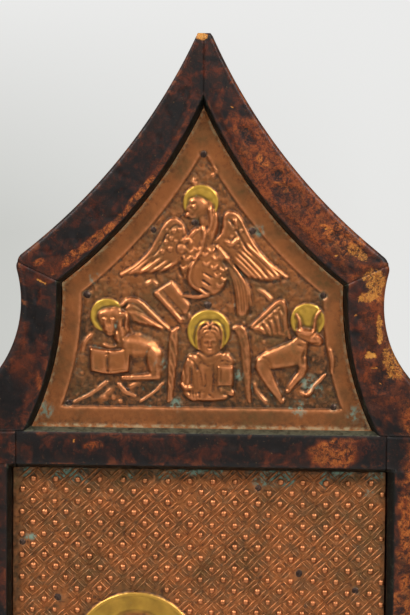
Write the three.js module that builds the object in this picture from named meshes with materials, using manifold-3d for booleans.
// Triptych altarpiece: a gabled centre panel and two hinged wings, each a wooden board with a mitred
// frame of lacquered strips around repousse copper plates, held by small domed nails.
//
// Millimetres, +Z up, the front faces -Y. The origin is the middle of the centre panel's underside.
// Outlines are lists of [x, z] points seen from the front, anticlockwise. Heights of relief are
// counted from a plate's ground towards the viewer.

import * as THREE from "three";
import { ConvexGeometry } from "three/addons/geometries/ConvexGeometry.js";
import { mergeVertices } from "three/addons/utils/BufferGeometryUtils.js";
import Module from "manifold-3d";

const wasm = await Module();
wasm.setup();

// ---- Driving dimensions: the centre panel's outline ----
const HEIGHT = 397;
const HALF_WIDTH = 92.4;
const TIP_HALF = 2.5; // the blunt tip is 5 mm wide
const HAUNCH = [HALF_WIDTH, 252]; // corner where the straight side ends
const SHOULDER = [75, 307]; // pointed shoulder below the gable
const OUTER_SIDE_SAG = 10; // hollow of the curve from haunch to shoulder
const OUTER_RAFTER_SAG = 7.2;

// ---- Openings at the frame's face ----
const RAIL = 15; // width of the bottom rail and the crossbar
const CROSSBAR_LOW = 225;
const CROSSBAR_HIGH = CROSSBAR_LOW + RAIL;
const MAIN_HALF = 77.6;
const GABLE_FOOT_HALF = 71;
const INNER_SHOULDER = [58, 299];
const INNER_APEX = 373;
const INNER_SIDE_SAG = 4.15;
const INNER_RAFTER_SAG = 6;

// ---- Thicknesses ----
const FRONT = -11; // face of the frames, on the centre and on the wings when flat open
// seam: front of the board and back of the strips; arris: bevel of the worn outer edges
const CENTRE = { front: FRONT, seam: -4, back: 11, arris: 2 };
const WING = { front: FRONT, seam: -5.5, back: 0, arris: 0.8 };
const GAP = 0.3; // between pieces that touch
const SHEET = 1.2; // copper sheet
const BAND = 0.8; // raised border band above the ground
const SIGHT_BEVEL = 2.7; // sloping sight edge around each opening
const SEAM_X = 73.8; // where rails meet stiles
const PLATE_INSET = SIGHT_BEVEL + GAP;

// ---- Wings and hinges ----
const AXIS_X = HALF_WIDTH + 0.5;
const AXIS_Y = FRONT - 0.4;
const WING_ANGLE = 30; // degrees the wings stand forward of flat
const WING_LIFT = 0.3; // the wings clear the table by this
const CLOSING_EDGE = 0.5; // half the gap where the closed wings meet
const CLOSING_STILE = 13.5;
const CUT_CLEAR = 5; // an opening has no corner closer than this to the closing stile
const HINGE_HEIGHTS = { lower: 45, upper: 205 };
const KNUCKLE = { outer: 2.2, bore: 1.2, pin: 0.9 };
const LEAF = { thick: 1.2, height: 24, centreBack: 3, wingBack: -2, front: AXIS_Y + 2.5, root: AXIS_Y + 1.5 };

// ---- Finishes ----
const LACQUER = new THREE.MeshStandardMaterial({ color: 0x4a2a22, roughness: 0.4, metalness: 0 });
const COPPER = new THREE.MeshStandardMaterial({ color: 0x8a5234, roughness: 0.4, metalness: 0.9 });
const IRON = new THREE.MeshStandardMaterial({ color: 0x3a3430, roughness: 0.6, metalness: 0.8 });
const BRASS = new THREE.MeshStandardMaterial({ color: 0x8a6a30, roughness: 0.5, metalness: 0.9 });

// ---------------------------------------------------------------- outlines

// Points of an arc from one point to another, hollowed to the left of its direction by sag.
function arc(from, to, sag, steps) {
  const chord = [to[0] - from[0], to[1] - from[1]];
  const length = Math.hypot(...chord);
  const radius = (length * length / 4 + sag * sag) / (2 * sag);
  const half = Math.asin(length / 2 / radius);
  const left = [-chord[1] / length, chord[0] / length];
  const points = [];
  for (let i = 0; i <= steps; i++) {
    const angle = half * (2 * i / steps - 1);
    const along = 0.5 + Math.sin(angle) / (2 * Math.sin(half));
    const bow = radius * (Math.cos(angle) - Math.cos(half));
    points.push([from[0] + chord[0] * along + left[0] * bow, from[1] + chord[1] * along + left[1] * bow]);
  }
  return points;
}

const flipped = (points) => points.map(([x, z]) => [-x, z]).reverse();

function centreOutline() {
  const side = [...arc(HAUNCH, SHOULDER, OUTER_SIDE_SAG, 5),
    ...arc(SHOULDER, [TIP_HALF, HEIGHT], OUTER_RAFTER_SAG, 6).slice(1)];
  return [[-HALF_WIDTH, 0], [HALF_WIDTH, 0], ...side, ...flipped(side)];
}

function gableOpening() {
  const side = [...arc([GABLE_FOOT_HALF, CROSSBAR_HIGH], INNER_SHOULDER, INNER_SIDE_SAG, 3),
    ...arc(INNER_SHOULDER, [0, INNER_APEX], INNER_RAFTER_SAG, 5).slice(1)];
  return [...side, ...flipped(side).slice(1)];
}

function mainOpening() {
  return rectangle(-MAIN_HALF, RAIL, MAIN_HALF, CROSSBAR_LOW);
}

function rectangle(left, low, right, high) {
  return [[left, low], [right, low], [right, high], [left, high]];
}

// Moves every edge of an anticlockwise outline inwards, keeping its corners.
function inset(points, distance) {
  const normal = (a, b) => {
    const length = Math.hypot(b[0] - a[0], b[1] - a[1]);
    return [(a[1] - b[1]) / length, (b[0] - a[0]) / length];
  };
  return points.map((point, i) => {
    const before = normal(points.at(i - 1), point);
    const after = normal(point, points[(i + 1) % points.length]);
    const scale = distance / (1 + before[0] * after[0] + before[1] * after[1]);
    return [point[0] + (before[0] + after[0]) * scale, point[1] + (before[1] + after[1]) * scale];
  });
}

// The part of an outline with x above a limit. Points closer than clear to the cut are dropped.
function rightOf(points, limit, clear = 0) {
  const kept = [];
  points.forEach((point, i) => {
    const next = points[(i + 1) % points.length];
    if (point[0] >= limit + clear) kept.push(point);
    if ((point[0] - limit) * (next[0] - limit) < 0) {
      const t = (limit - point[0]) / (next[0] - point[0]);
      kept.push([limit, point[1] + t * (next[1] - point[1])]);
    }
  });
  return kept;
}

// ---------------------------------------------------------------- solids

function solid(geometry) {
  geometry.deleteAttribute("normal");
  geometry.deleteAttribute("uv");
  const merged = mergeVertices(geometry, 1e-4);
  const vertProperties = new Float32Array(merged.attributes.position.array);
  const triVerts = new Uint32Array(merged.index.array);
  return new wasm.Manifold(new wasm.Mesh({ numProp: 3, vertProperties, triVerts }));
}

function geometryOf(body) {
  const mesh = body.getMesh();
  const geometry = new THREE.BufferGeometry();
  geometry.setAttribute("position", new THREE.BufferAttribute(new Float32Array(mesh.vertProperties), 3));
  geometry.setIndex(new THREE.BufferAttribute(new Uint32Array(mesh.triVerts), 1));
  return geometry;
}

const join = (bodies) => bodies.reduce((whole, body) => whole.add(body));

function extruded(points, depth, bevel) {
  const shape = new THREE.Shape(points.map(([x, z]) => new THREE.Vector2(x, z)));
  const bevelled = { bevelEnabled: bevel > 0, bevelSize: bevel, bevelOffset: -bevel, bevelThickness: bevel };
  return new THREE.ExtrudeGeometry(shape, { depth, bevelSegments: 1, ...bevelled });
}

// A slab of an outline from y = back forward to y = front. A bevel narrows its front end inside that
// length, and its back end behind it.
function slab(points, back, front, bevel = 0) {
  const geometry = extruded(points, back - front - bevel, bevel);
  geometry.rotateX(Math.PI / 2);
  geometry.translate(0, back, 0);
  return solid(geometry);
}

function block(low, high) {
  const size = high.map((value, i) => value - low[i]);
  const geometry = new THREE.BoxGeometry(...size);
  geometry.translate(...low.map((value, i) => value + size[i] / 2));
  return solid(geometry);
}

// A turned body about the vertical through (x, y), from a profile of [radius, height] points.
function turned(profile, x, y, z, sides = 8) {
  const geometry = new THREE.LatheGeometry(profile.map(([r, h]) => new THREE.Vector2(r, h)), sides);
  geometry.rotateX(Math.PI / 2);
  geometry.translate(x, y, z);
  return solid(geometry);
}

// ---------------------------------------------------------------- boards and frame strips

// The board behind a frame, with its back edge eased.
function board(outline, levels) {
  const eased = slab(outline, levels.back - levels.arris, levels.seam - 8, levels.arris);
  return eased.intersect(block([-500, levels.seam, -5], [500, levels.back + 1, 500]));
}

// What an opening takes out of the strips: a straight well, flared at the face by the sight edge.
function openingCutter(opening, levels) {
  const well = slab(inset(opening, SIGHT_BEVEL), levels.seam + 2, levels.front - 2);
  const flare = extruded(opening, 3, SIGHT_BEVEL);
  flare.rotateX(Math.PI / 2);
  flare.translate(0, levels.front, 0);
  return well.add(solid(flare));
}

// The ring of strips around the openings, in one piece until it is cut at its joints.
function frameRing(outline, openings, levels) {
  const ring = slab(outline, levels.seam + 2, levels.front, levels.arris);
  return openings.reduce((body, opening) => body.subtract(openingCutter(opening, levels)), ring);
}

const strip = (ring, region, levels) =>
  ring.intersect(slab(region, levels.seam - GAP, levels.front - 1));

// Height of the shoulder's mitre at x: it runs through the inner and outer shoulder corners.
function mitreHeight(x) {
  const slope = (SHOULDER[1] - INNER_SHOULDER[1]) / (SHOULDER[0] - INNER_SHOULDER[0]);
  return INNER_SHOULDER[1] + slope * (x - INNER_SHOULDER[0]);
}

const REACH = 120; // cutting regions run past the outline
const HALF_GAP = GAP / 2;

// The mitre of the sight edge at the gable opening's foot, run on a little past the edge.
const FOOT_MITRE = [[GABLE_FOOT_HALF, CROSSBAR_HIGH], [GABLE_FOOT_HALF - 5, CROSSBAR_HIGH + 4.7]];

// The joints shared by the centre's right half and a closed right wing.
function sideRegions() {
  const seam = SEAM_X + HALF_GAP;
  const inside = GABLE_FOOT_HALF - 20;
  const foot = FOOT_MITRE.map(([x, z]) => [x + GAP, z + GAP]);
  return {
    stile: rectangle(seam, -1, REACH, CROSSBAR_HIGH),
    shoulder: [foot[0], [REACH, foot[0][1]], [REACH, mitreHeight(REACH) - HALF_GAP],
      [inside, mitreHeight(inside) - HALF_GAP], [inside, foot[1][1]], foot[1]],
  };
}

// The crossbar from a left limit to its right seam, with the sight edge along its top.
function crossbarRegion(left) {
  const right = SEAM_X - HALF_GAP;
  return [[left, CROSSBAR_LOW - 20], [right, CROSSBAR_LOW - 20], [right, CROSSBAR_HIGH], ...FOOT_MITRE,
    [left, FOOT_MITRE[1][1]]];
}

function centreRegions() {
  const { stile, shoulder } = sideRegions();
  const rafter = [[HALF_GAP, mitreHeight(0) + HALF_GAP], [REACH, mitreHeight(REACH) + HALF_GAP],
    [REACH, HEIGHT + 5], [HALF_GAP, HEIGHT + 5]];
  const rail = SEAM_X - HALF_GAP;
  return {
    rafter_right: rafter, rafter_left: flipped(rafter),
    shoulder_right: shoulder, shoulder_left: flipped(shoulder),
    stile_right: stile, stile_left: flipped(stile),
    crossbar: [...crossbarRegion(0).slice(1, -1), ...flipped(crossbarRegion(0).slice(1, -1))],
    bottom_rail: rectangle(-rail, -1, rail, RAIL + 20),
  };
}

// Joints of a closed right wing. Its closing stile runs up to a mitre at the half gable's tip.
function wingRegions() {
  const { stile, shoulder } = sideRegions();
  const stileEdge = CLOSING_EDGE + CLOSING_STILE;
  const corner = rightOf(gableOpening(), stileEdge, CUT_CLEAR).filter(([x]) => x === stileEdge);
  const top = Math.max(...corner.map(([, z]) => z));
  const slope = (HEIGHT - top) / (CLOSING_EDGE - stileEdge);
  const mitre = (z, gap) => [stileEdge + (z - top) / slope + gap, z];
  const seam = stileEdge + SIGHT_BEVEL + 1.1;
  const foot = top + (seam - stileEdge) * slope;
  return {
    hinge_stile: stile,
    shoulder,
    closing_stile: [[-1, -1], [seam - HALF_GAP, -1], mitre(foot, -HALF_GAP), mitre(HEIGHT + 5, -HALF_GAP),
      [-5, HEIGHT + 5]],
    rafter: [[seam, mitreHeight(seam) + HALF_GAP], [REACH, mitreHeight(REACH) + HALF_GAP],
      [REACH, HEIGHT + 5], mitre(HEIGHT + 5, HALF_GAP), mitre(foot, HALF_GAP)],
    crossbar: crossbarRegion(seam + HALF_GAP),
    bottom_rail: rectangle(seam + HALF_GAP, -1, SEAM_X - HALF_GAP, RAIL + 20),
  };
}

// ---------------------------------------------------------------- repousse relief

// Small domes need fewer sides to look round, and the smallest are plain ridges.
const RIDGE = 2.2;

function domeSides(radius) {
  if (radius < 2.5) return 4;
  return radius < 7.5 ? 6 : 8;
}

const ROOT = 0.6; // how deep a raised form is rooted in the sheet

// Points of a flattened dome at one station [x, z, radius] of a limb.
function domePoints([x, z, radius], height, ground) {
  const points = [new THREE.Vector3(x, ground - height, z)];
  const sides = domeSides(radius);
  for (let i = 0; i < sides; i++) {
    const angle = 2 * Math.PI * (i + 0.5) / sides;
    const [dx, dz] = [Math.cos(angle) * radius, Math.sin(angle) * radius];
    points.push(new THREE.Vector3(x + dx, ground + ROOT, z + dz));
    if (radius <= RIDGE) continue;
    points.push(new THREE.Vector3(x + dx * 0.72, ground - height * 0.78, z + dz * 0.72));
  }
  return points;
}

// A raised limb: the rounded hull of each pair of neighbouring stations.
function limb({ path, height }, ground) {
  const widest = Math.max(...path.map(([, , radius]) => radius));
  const rise = (station) => height * Math.sqrt(station[2] / widest);
  const dome = (station) => domePoints(station, rise(station), ground);
  if (path.length === 1) return solid(new ConvexGeometry(dome(path[0])));
  const pieces = path.slice(1).map((station, i) =>
    solid(new ConvexGeometry([...dome(path[i]), ...dome(station)])));
  return join(pieces);
}

// A raised flat form, such as a book, a wing's web or a robe.
const pad = ({ outline, height }, ground) => slab(outline, ground + ROOT, ground - height);

function disc([x, z, radius], height, ground, sides = 12) {
  const outline = [];
  for (let i = 0; i < sides; i++) {
    const angle = 2 * Math.PI * i / sides;
    outline.push([x + radius * Math.cos(angle), z + radius * Math.sin(angle)]);
  }
  return slab(outline, ground + ROOT, ground - height);
}

// A figure is { halos, pads, limbs }; this joins it into raised bodies.
function relief(figure, ground) {
  return [
    ...figure.halos.map(({ at, height }) => disc(at, height, ground)),
    ...figure.pads.map((form) => pad(form, ground)),
    ...figure.limbs.map((form) => limb(form, ground)),
  ];
}

// The eagle at the top of the gable, wings spread, a book in its claws.
const EAGLE = {
  halos: [{ at: [-0.9, 330.3, 7.2], height: 0.6 }],
  pads: [
    { height: 0.9, outline: [[-6, 315], [-6.5, 319], [-9, 323], [-13, 324], [-17.5, 317], [-20.5, 310.5],
      [-26, 304], [-32, 301], [-22, 302.5], [-12, 304]] },
    { height: 0.9, outline: [[6, 312], [12, 306], [18, 301], [26, 298.5], [33, 300.8], [26, 306], [20, 313],
      [17, 319], [14, 325.5], [10.5, 327], [8, 325], [8.5, 319], [5, 315]] },
    { height: 1.1, outline: [[-18.5, 294.5], [-8, 283], [-2.5, 288], [-11.6, 298.8]] },
  ],
  limbs: [
    { height: 2.6, path: [[-2.4, 328.4, 4.1], [-5.4, 325.2, 1.5]] },
    { height: 2.2, path: [[0.8, 328.2, 3], [2, 323, 3.6], [0.6, 317, 4.8]] },
    { height: 3, path: [[-1.5, 314, 6.4], [-3.6, 304.5, 8], [3, 300.5, 7]] },
    { height: 2, path: [[-6.6, 317.5, 1.8], [-9.5, 322, 2], [-13, 322.8, 2], [-17.6, 316.5, 2], [-20.5, 310.5, 1.8],
      [-26, 304.2, 1.4], [-32, 301.3, 0.8]] },
    { height: 2, path: [[4.8, 314.8, 1.4], [8, 319, 1.5], [8.4, 325, 1.5], [11, 326, 1.5], [14.2, 324, 2],
      [17.4, 317.5, 1.9], [20.5, 311.5, 1.7], [26.5, 305.4, 1.4], [33, 301, 0.8]] },
    { height: 1.6, path: [[11.5, 318, 2.2], [17, 308, 1.7], [22.5, 301, 1.1]] },
    { height: 1.6, path: [[9, 313.5, 1.9], [13, 307.5, 1.6], [18, 302, 1.1]] },
    { height: 2.4, path: [[-3.6, 301, 4.2], [-1.5, 297, 2.4], [2.4, 293.6, 1.5]] },
    { height: 1.8, path: [[2.4, 293.6, 1.5], [-2.5, 292.4, 1.2], [-8, 293.2, 0.8]] },
    { height: 2.4, path: [[5, 309.5, 2.4], [10, 305.5, 2.7], [13.6, 300, 3.1], [16.4, 292, 3.8], [16.6, 286, 4]] },
    { height: 2, path: [[-18, 293.6, 1.4], [-8.4, 283.2, 1.4]] },
  ],
};

// The winged lion, lower left, with an open book.
const LION = {
  halos: [{ at: [-37.4, 285.3, 6.8], height: 0.6 }],
  pads: [
    { height: 0.9, outline: [[-32, 286], [-28, 281.6], [-20, 280], [-12.8, 278.6], [-18, 285], [-24.5, 291.8],
      [-29, 293]] },
    { height: 2, outline: [[-44.4, 263], [-36.8, 261.3], [-29, 262.8], [-28.6, 271.5], [-36.6, 270.8],
      [-44.4, 271.9]] },
  ],
  limbs: [
    { height: 2.8, path: [[-37, 283, 4.8], [-38.2, 278.4, 3.2]] },
    { height: 2.2, path: [[-41.8, 286.2, 1.3], [-39.6, 283.6, 1.5]] },
    { height: 2.2, path: [[-31.6, 285.4, 1.5], [-29.8, 281, 1.9], [-31.4, 276.6, 2.6]] },
    { height: 2.6, path: [[-33.4, 277.4, 4.2], [-30.6, 271.4, 5.2], [-25, 271.4, 5.6], [-20.6, 269.8, 5.3],
      [-19.6, 263.6, 4.2]] },
    { height: 2, path: [[-18.4, 261.6, 2.1], [-25, 260.7, 1.6], [-31.4, 260.2, 1.2]] },
    { height: 1.4, path: [[-15.8, 258.4, 0.9], [-19.6, 254.6, 1], [-24.4, 250.8, 0.8]] },
    { height: 1.4, path: [[-51, 250.6, 1.2], [-44, 253.8, 1.3], [-38, 257.6, 1.6]] },
    { height: 1.6, path: [[-33, 257.6, 1.6], [-30.4, 253.6, 2.3], [-26.5, 253, 1.7]] },
    { height: 2, path: [[-32, 289.4, 1.4], [-28.8, 291.6, 1.5], [-24.4, 290.2, 1.6], [-19, 285, 1.4],
      [-12.8, 279.2, 0.8]] },
  ],
};

// The angel with a closed book, bottom middle.
const ANGEL = {
  halos: [{ at: [2.7, 279.4, 8.6], height: 0.7 }],
  pads: [
    { height: 1, outline: [[-8.6, 258], [-6.6, 252.2], [3, 251.2], [12.9, 252.6], [13.2, 266], [9.6, 270],
      [-4, 270], [-7.8, 265]] },
    { height: 2.2, outline: rectangle(6.4, 257.6, 12.8, 265.6) },
  ],
  limbs: [
    { height: 3, path: [[2.8, 277.6, 4.9], [2.9, 273.6, 4]] },
    { height: 2.2, path: [[-2.6, 272.8, 1.7], [-3, 279, 1.8], [0.2, 283, 1.8], [5.4, 283, 1.8], [8.7, 279, 1.8],
      [8.3, 272.8, 1.7]] },
    { height: 2, path: [[-1.4, 270.6, 1.3], [3, 268.2, 1.4], [7.4, 270.6, 1.3]] },
    { height: 2.4, path: [[-2.6, 267.4, 3.2], [-5.4, 261, 2.8], [-4.8, 255.6, 2.6]] },
    { height: 2.2, path: [[1.6, 264.4, 2.2], [3.2, 258.6, 2.5], [1.4, 254.6, 1.6]] },
    { height: 2.4, path: [[-4.8, 253.8, 1.8], [-2.6, 252.6, 2.1], [-0.2, 254, 1.6]] },
    { height: 2.4, path: [[7.6, 256.6, 1.6], [11.8, 255.2, 1.8]] },
    { height: 1.8, path: [[-9.8, 278.6, 2], [-10.8, 272, 1.5], [-11.4, 262, 1.1], [-12.2, 251, 0.9]] },
    { height: 1.8, path: [[12.9, 278.4, 1.4], [14.8, 280.4, 1.6], [17, 277.8, 1.6], [18.1, 270, 1.4],
      [18.3, 251.6, 1]] },
  ],
};

// The winged ox, lower right.
const OX = {
  halos: [{ at: [41.9, 284, 6.9], height: 0.6 }],
  pads: [
    { height: 0.9, outline: [[19.2, 280.6], [22, 278.4], [28, 277.4], [35.2, 276.6], [33.6, 280], [33.4, 285],
      [33.6, 291.6], [31, 293]] },
  ],
  limbs: [
    { height: 2, path: [[37, 283.6, 1.6], [37.6, 279.8, 1.7]] },
    { height: 2.4, path: [[41.6, 279.4, 2.2], [44.4, 278, 2.8], [46, 276, 2]] },
    { height: 1.8, path: [[39, 286, 0.8], [39.9, 282.5, 1], [42, 279.8, 1.3]] },
    { height: 1.8, path: [[46.4, 287, 0.8], [45.9, 283, 1], [45.4, 279.6, 1.3]] },
    { height: 2.6, path: [[40.8, 276.4, 2.2], [38.2, 272, 4.7], [32, 269.8, 4.3], [26, 268, 3.2],
      [22.6, 267.6, 1.8]] },
    { height: 2.2, path: [[23.8, 265.8, 3.2], [26.2, 260, 2.5], [29.6, 254.6, 1.7], [32.2, 251.8, 1.3]] },
    { height: 2.2, path: [[39.6, 269, 2.9], [41, 263.6, 1.9], [36, 258.8, 1.4], [34.4, 256.2, 1.2]] },
    { height: 1.6, path: [[48.8, 262.2, 1.2], [45.2, 258.4, 1.6], [41.8, 255, 1.9]] },
    { height: 2, path: [[19.6, 281.2, 0.8], [25.5, 287, 1.1], [31, 291.6, 1.4], [33, 290.8, 1.4], [33.3, 281, 1.3],
      [35, 277, 1.1]] },
  ],
};

// The Virgin and Child, half length, on the main plate.
const MOTHER_AND_CHILD = {
  halos: [{ at: [-25.5, 148.4, 26], height: 0.9 }, { at: [23, 119, 16], height: 0.8 }],
  pads: [
    { height: 1.6, outline: [[-72, 20], [70, 20], [70, 44], [62, 72], [44, 88], [12, 96], [2, 112], [-12, 122],
      [-38, 122], [-54, 112], [-66, 88], [-72, 56]] },
  ],
  limbs: [
    { height: 3.2, path: [[-25.8, 151, 14.8], [-24.5, 141, 14.4], [-22, 127, 12.5]] },
    { height: 4.2, path: [[-24.4, 149.5, 9], [-24, 143.5, 7.6]] },
    { height: 3.2, path: [[-40, 112, 10], [-54, 92, 9], [-60, 66, 8], [-62, 28, 7]] },
    { height: 3.2, path: [[-8, 112, 9], [0, 96, 8], [-4, 84, 6]] },
    { height: 2.8, path: [[-26, 112, 5], [-32, 84, 4.6], [-42, 54, 4.4], [-44, 26, 4]] },
    { height: 2.8, path: [[-16, 106, 4.4], [-20, 88, 4]] },
    { height: 3.4, path: [[-46, 62, 7], [-30, 68, 6], [-14, 76, 5], [-4, 82, 3.6]] },
    { height: 3.8, path: [[23, 119.5, 8.2], [23, 115.5, 6.6]] },
    { height: 3.4, path: [[24, 103, 7.6], [27, 90, 9.6], [27, 78, 9.6]] },
    { height: 2.6, path: [[17, 105, 3.2], [8, 106, 2.7], [4, 114, 2.2]] },
    { height: 2.8, path: [[32, 103, 3.2], [39, 94, 3], [34, 86, 2.6]] },
    { height: 3.2, path: [[22, 74, 6.4], [10, 68, 5.2], [2, 56, 4.2], [-5, 53, 2.4]] },
    { height: 3, path: [[32, 71, 6], [22, 58, 5], [14, 46, 3.8], [7, 44, 2.2]] },
    { height: 3.4, path: [[60, 58, 9], [50, 62, 7], [40, 62, 4.4], [31, 60, 3]] },
    { height: 2.8, path: [[-26, 50, 4.4], [-14, 34, 4.4], [-10, 24, 3.6]] },
    { height: 2.8, path: [[-8, 44, 4], [10, 30, 4.4], [16, 23, 3]] },
    { height: 2.8, path: [[44, 46, 4.6], [36, 32, 4.4], [34, 24, 3.4]] },
    { height: 2.8, path: [[62, 42, 4.2], [60, 26, 4]] },
  ],
};

// A standing saint for a wing, in the closed wing's place, with a book and, if asked, a staff.
function saint(withStaff) {
  const middle = 46;
  const folds = [-12, -4, 5, 13].map((dx) => ({ height: 2.4,
    path: [[middle + dx * 0.7, 132 - Math.abs(dx), 3], [middle + dx, 84, 3.4], [middle + dx * 1.3, 41, 3.6]] }));
  const staff = [{ height: 1.4, path: [[middle + 23, 40, 1.1], [middle + 23, 196, 1.1]] }];
  return {
    halos: [{ at: [middle, 187, 15], height: 0.8 }],
    pads: [
      { height: 1.4, outline: [[middle - 21, 36], [middle + 21, 36], [middle + 18, 100], [middle + 19, 152],
        [middle + 12, 168], [middle - 12, 168], [middle - 19, 152], [middle - 18, 100]] },
      { height: 2.8, outline: rectangle(middle - 15, 126, middle - 2, 144) },
    ],
    limbs: [
      { height: 3, path: [[middle, 189, 8.4], [middle, 181, 7]] },
      { height: 2.4, path: [[middle, 174, 4.6], [middle, 166, 6]] },
      { height: 2.6, path: [[middle - 14, 161, 5], [middle - 16, 144, 5], [middle - 9, 124, 4]] },
      { height: 2.6, path: [[middle + 14, 161, 5], [middle + 17, 143, 5], [middle + 9, 134, 3.6],
        [middle + 3, 138, 2.6]] },
      { height: 2, path: [[middle - 8, 35, 3.4], [middle - 9, 29, 2.6]] },
      { height: 2, path: [[middle + 8, 35, 3.4], [middle + 9, 29, 2.6]] },
      ...folds,
      ...(withStaff ? staff : []),
    ],
  };
}

// The wings' small gable plates hold a six-petalled rosette.
function rosette() {
  const centre = [37, 268];
  const petals = [0, 1, 2, 3, 4, 5].map((i) => {
    const angle = Math.PI * i / 3;
    const at = (distance, radius) =>
      [centre[0] + Math.cos(angle) * distance, centre[1] + Math.sin(angle) * distance, radius];
    return { height: 1.8, path: [at(3.5, 1.8), at(9, 3.2)] };
  });
  return { halos: [{ at: [...centre, 13.5], height: 0.6 }], pads: [],
    limbs: [...petals, { height: 2.4, path: [[...centre, 2.8]] }] };
}

// ---------------------------------------------------------------- plates and nails

const BAND_WIDTH = 7;
const NAIL = { radius: 1.5, rise: 0.9, dish: 2.1 };

const groundOf = (levels) => levels.seam - GAP - SHEET;

// A plate with a raised border band, its figures, and dished seats under its nails.
function plate(outline, bandWidth, figures, nails, levels) {
  const ground = groundOf(levels);
  const back = levels.seam - GAP;
  let body = slab(outline, back, ground);
  if (bandWidth > 0) {
    const band = slab(outline, back, ground - BAND);
    body = body.add(band.subtract(slab(inset(outline, bandWidth), back + 1, ground - BAND - 1)));
  }
  body = join([body, ...figures.flatMap((figure) => relief(figure, ground))]);
  nails.forEach(([x, z]) => {
    body = body.subtract(disc([x, z, NAIL.dish], 5, ground - ROOT, 6));
  });
  return body;
}

const GABLE_NAILS = [[0, 349.5], [-19.7, 319.3], [19.7, 319.3], [-46, 293.3], [48, 294], [-3.3, 322.5], [2.3, 289.7],
  [-52.8, 250], [52.6, 249.6], [-11.8, 294.6], [-29.4, 255.7], [9.6, 263]];
const MAIN_NAILS = [[39.6, 182.8], [-57, 171.7], [-71.4, 193.6], [23, 216.8], [62, 176.4]];

// A domed nail head seated in its dish, with its round towards the viewer.
function nailHead(levels) {
  const { radius, rise } = NAIL;
  const profile = [[0, 0], [radius, 0], [radius * 0.75, rise * 0.75], [0, rise]];
  const geometry = new THREE.LatheGeometry(profile.map(([r, h]) => new THREE.Vector2(r, h)), 6);
  geometry.rotateX(Math.PI);
  return { geometry: geometryOf(solid(geometry)), seat: groundOf(levels) - GAP };
}

// ---------------------------------------------------------------- hinges

function knuckle(side, z, from, to) {
  const { outer, bore } = KNUCKLE;
  const profile = [[bore, from], [outer, from], [outer, to], [bore, to], [bore, from]];
  return turned(profile, side * AXIS_X, AXIS_Y, z);
}

// A leaf let into the edge of a stile, with its share of the knuckles.
function hingeLeaf(side, z, face, back, knuckles) {
  const half = LEAF.height / 2;
  const xs = [side * face, side * (face + LEAF.thick)].sort((a, b) => a - b);
  const leaf = block([xs[0], LEAF.front, z - half], [xs[1], back, z + half]);
  const webs = knuckles.map(([from, to]) => block([xs[0], LEAF.root, z + from], [xs[1], LEAF.front + 1, z + to]));
  return join([leaf, ...webs, ...knuckles.map(([from, to]) => knuckle(side, z, from, to))]);
}

const OUTER_KNUCKLES = [[-12, -4.15], [4.15, 12]];
const MIDDLE_KNUCKLE = [[-3.85, 3.85]];

const centreLeaf = (side, z) =>
  hingeLeaf(side, z, HALF_WIDTH - LEAF.thick, LEAF.centreBack, OUTER_KNUCKLES);
const wingLeaf = (side, z) =>
  hingeLeaf(side, z, 2 * AXIS_X - HALF_WIDTH, LEAF.wingBack, MIDDLE_KNUCKLE);

function hingePin(side, z) {
  const profile = [[0, -13], [KNUCKLE.pin, -13], [KNUCKLE.pin, 12.3], [1.8, 12.3], [1.4, 13.3], [0, 13.6]];
  return turned(profile, side * AXIS_X, AXIS_Y, z);
}

// Room for one hinge in a stile and its board: round for the knuckles, flat for the leaf.
function hingeMortise(side, z, face, back) {
  const round = turned([[0, -13.4], [2.7, -13.4], [2.7, 14], [0, 14]], side * AXIS_X, AXIS_Y, z);
  const half = LEAF.height / 2 + GAP;
  const xs = [side * (face - GAP), side * (face + LEAF.thick + GAP)].sort((a, b) => a - b);
  return round.add(block([xs[0], AXIS_Y, z - half], [xs[1], back + GAP, z + half]));
}

function mortised(body, side, face, back) {
  return Object.values(HINGE_HEIGHTS)
    .reduce((rest, z) => rest.subtract(hingeMortise(side, z, face, back)), body);
}

// ---------------------------------------------------------------- assembly

const triptych = new THREE.Group();

function addMesh(group, name, geometry, material) {
  const mesh = new THREE.Mesh(geometry, material);
  mesh.name = name;
  group.add(mesh);
  return mesh;
}

function buildCentre() {
  const outline = centreOutline();
  const openings = [gableOpening(), mainOpening()];
  const mortise = (body, side) => mortised(body, side, HALF_WIDTH - LEAF.thick, LEAF.centreBack);
  addMesh(triptych, "back_board", geometryOf(mortise(mortise(board(outline, CENTRE), 1), -1)), LACQUER);
  const ring = frameRing(outline, openings, CENTRE);
  Object.entries(centreRegions()).forEach(([name, region]) => {
    let body = strip(ring, region, CENTRE);
    if (name.startsWith("stile")) body = mortise(body, name === "stile_right" ? 1 : -1);
    addMesh(triptych, name, geometryOf(body), LACQUER);
  });
  const gable = plate(inset(openings[0], PLATE_INSET), BAND_WIDTH, [EAGLE, LION, ANGEL, OX], GABLE_NAILS, CENTRE);
  addMesh(triptych, "gable_plate", geometryOf(gable), COPPER);
  const main = plate(inset(openings[1], PLATE_INSET), 0, [MOTHER_AND_CHILD], MAIN_NAILS, CENTRE);
  addMesh(triptych, "main_plate", geometryOf(main), COPPER);
}

function buildNails() {
  const place = ([x, z], name) => {
    const { geometry, seat } = nailHead(CENTRE);
    const nail = addMesh(triptych, name, geometry, IRON);
    nail.position.set(x, seat, z);
  };
  GABLE_NAILS.forEach((at, i) => place(at, `gable_nail_${i + 1}`));
  MAIN_NAILS.forEach((at, i) => place(at, `main_nail_${i + 1}`));
}

// A closed right wing's point in its flat open place, on the right or left of the centre.
function wingPoint([x, z, ...rest], side) {
  return [side * (2 * AXIS_X - x), z + WING_LIFT, ...rest];
}

function wingOutline(points, side) {
  const placed = points.map((point) => wingPoint(point, side));
  return side > 0 ? placed.reverse() : placed;
}

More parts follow.
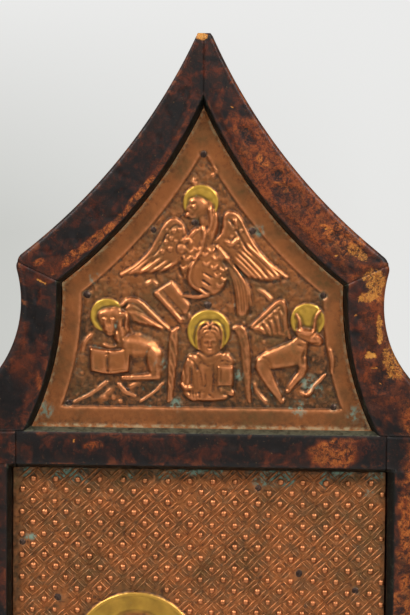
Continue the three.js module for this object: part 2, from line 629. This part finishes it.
function wingFigure(figure, side) {
  return {
    halos: figure.halos.map(({ at, height }) => ({ at: wingPoint(at, side), height })),
    pads: figure.pads.map(({ outline, height }) => ({ outline: wingOutline(outline, side), height })),
    limbs: figure.limbs.map(({ path, height }) => ({ path: path.map((p) => wingPoint(p, side)), height })),
  };
}

function buildWing(name, side) {
  const group = new THREE.Group();
  group.position.set(side * AXIS_X, AXIS_Y, 0);
  group.rotation.z = -side * WING_ANGLE * Math.PI / 180;
  triptych.add(group);
  const add = (part, body, material) => {
    const geometry = geometryOf(body);
    geometry.translate(-side * AXIS_X, -AXIS_Y, 0);
    addMesh(group, `${name}_${part}`, geometry, material);
  };
  const outline = wingOutline(rightOf(centreOutline(), CLOSING_EDGE), side);
  const stileEdge = CLOSING_EDGE + CLOSING_STILE;
  const openings = [gableOpening(), mainOpening()]
    .map((opening) => wingOutline(rightOf(opening, stileEdge, CUT_CLEAR), side));
  const mortise = (body) => mortised(body, side, 2 * AXIS_X - HALF_WIDTH, LEAF.wingBack);
  add("back", mortise(board(outline, WING)), LACQUER);
  const ring = frameRing(outline, openings, WING);
  Object.entries(wingRegions()).forEach(([part, region]) => {
    const body = strip(ring, wingOutline(region, side), WING);
    add(part, part === "hinge_stile" ? mortise(body) : body, LACQUER);
  });
  const plates = openings.map((opening) => inset(opening, PLATE_INSET));
  add("gable_plate", plate(plates[0], BAND_WIDTH * 0.7, [wingFigure(rosette(), side)], [], WING), COPPER);
  add("main_plate", plate(plates[1], 0, [wingFigure(saint(side > 0), side)], [], WING), COPPER);
  Object.entries(HINGE_HEIGHTS).forEach(([level, z]) => {
    add(`leaf_${level}`, wingLeaf(side, z), BRASS);
  });
}

function buildHinges(name, side) {
  Object.entries(HINGE_HEIGHTS).forEach(([level, z]) => {
    addMesh(triptych, `hinge_leaf_${name}_${level}`, geometryOf(centreLeaf(side, z)), BRASS);
    addMesh(triptych, `hinge_pin_${name}_${level}`, geometryOf(hingePin(side, z)), BRASS);
  });
}

buildCentre();
buildNails();
[["right", 1], ["left", -1]].forEach(([name, side]) => {
  buildWing(`wing_${name}`, side);
  buildHinges(name, side);
});

export default triptych;
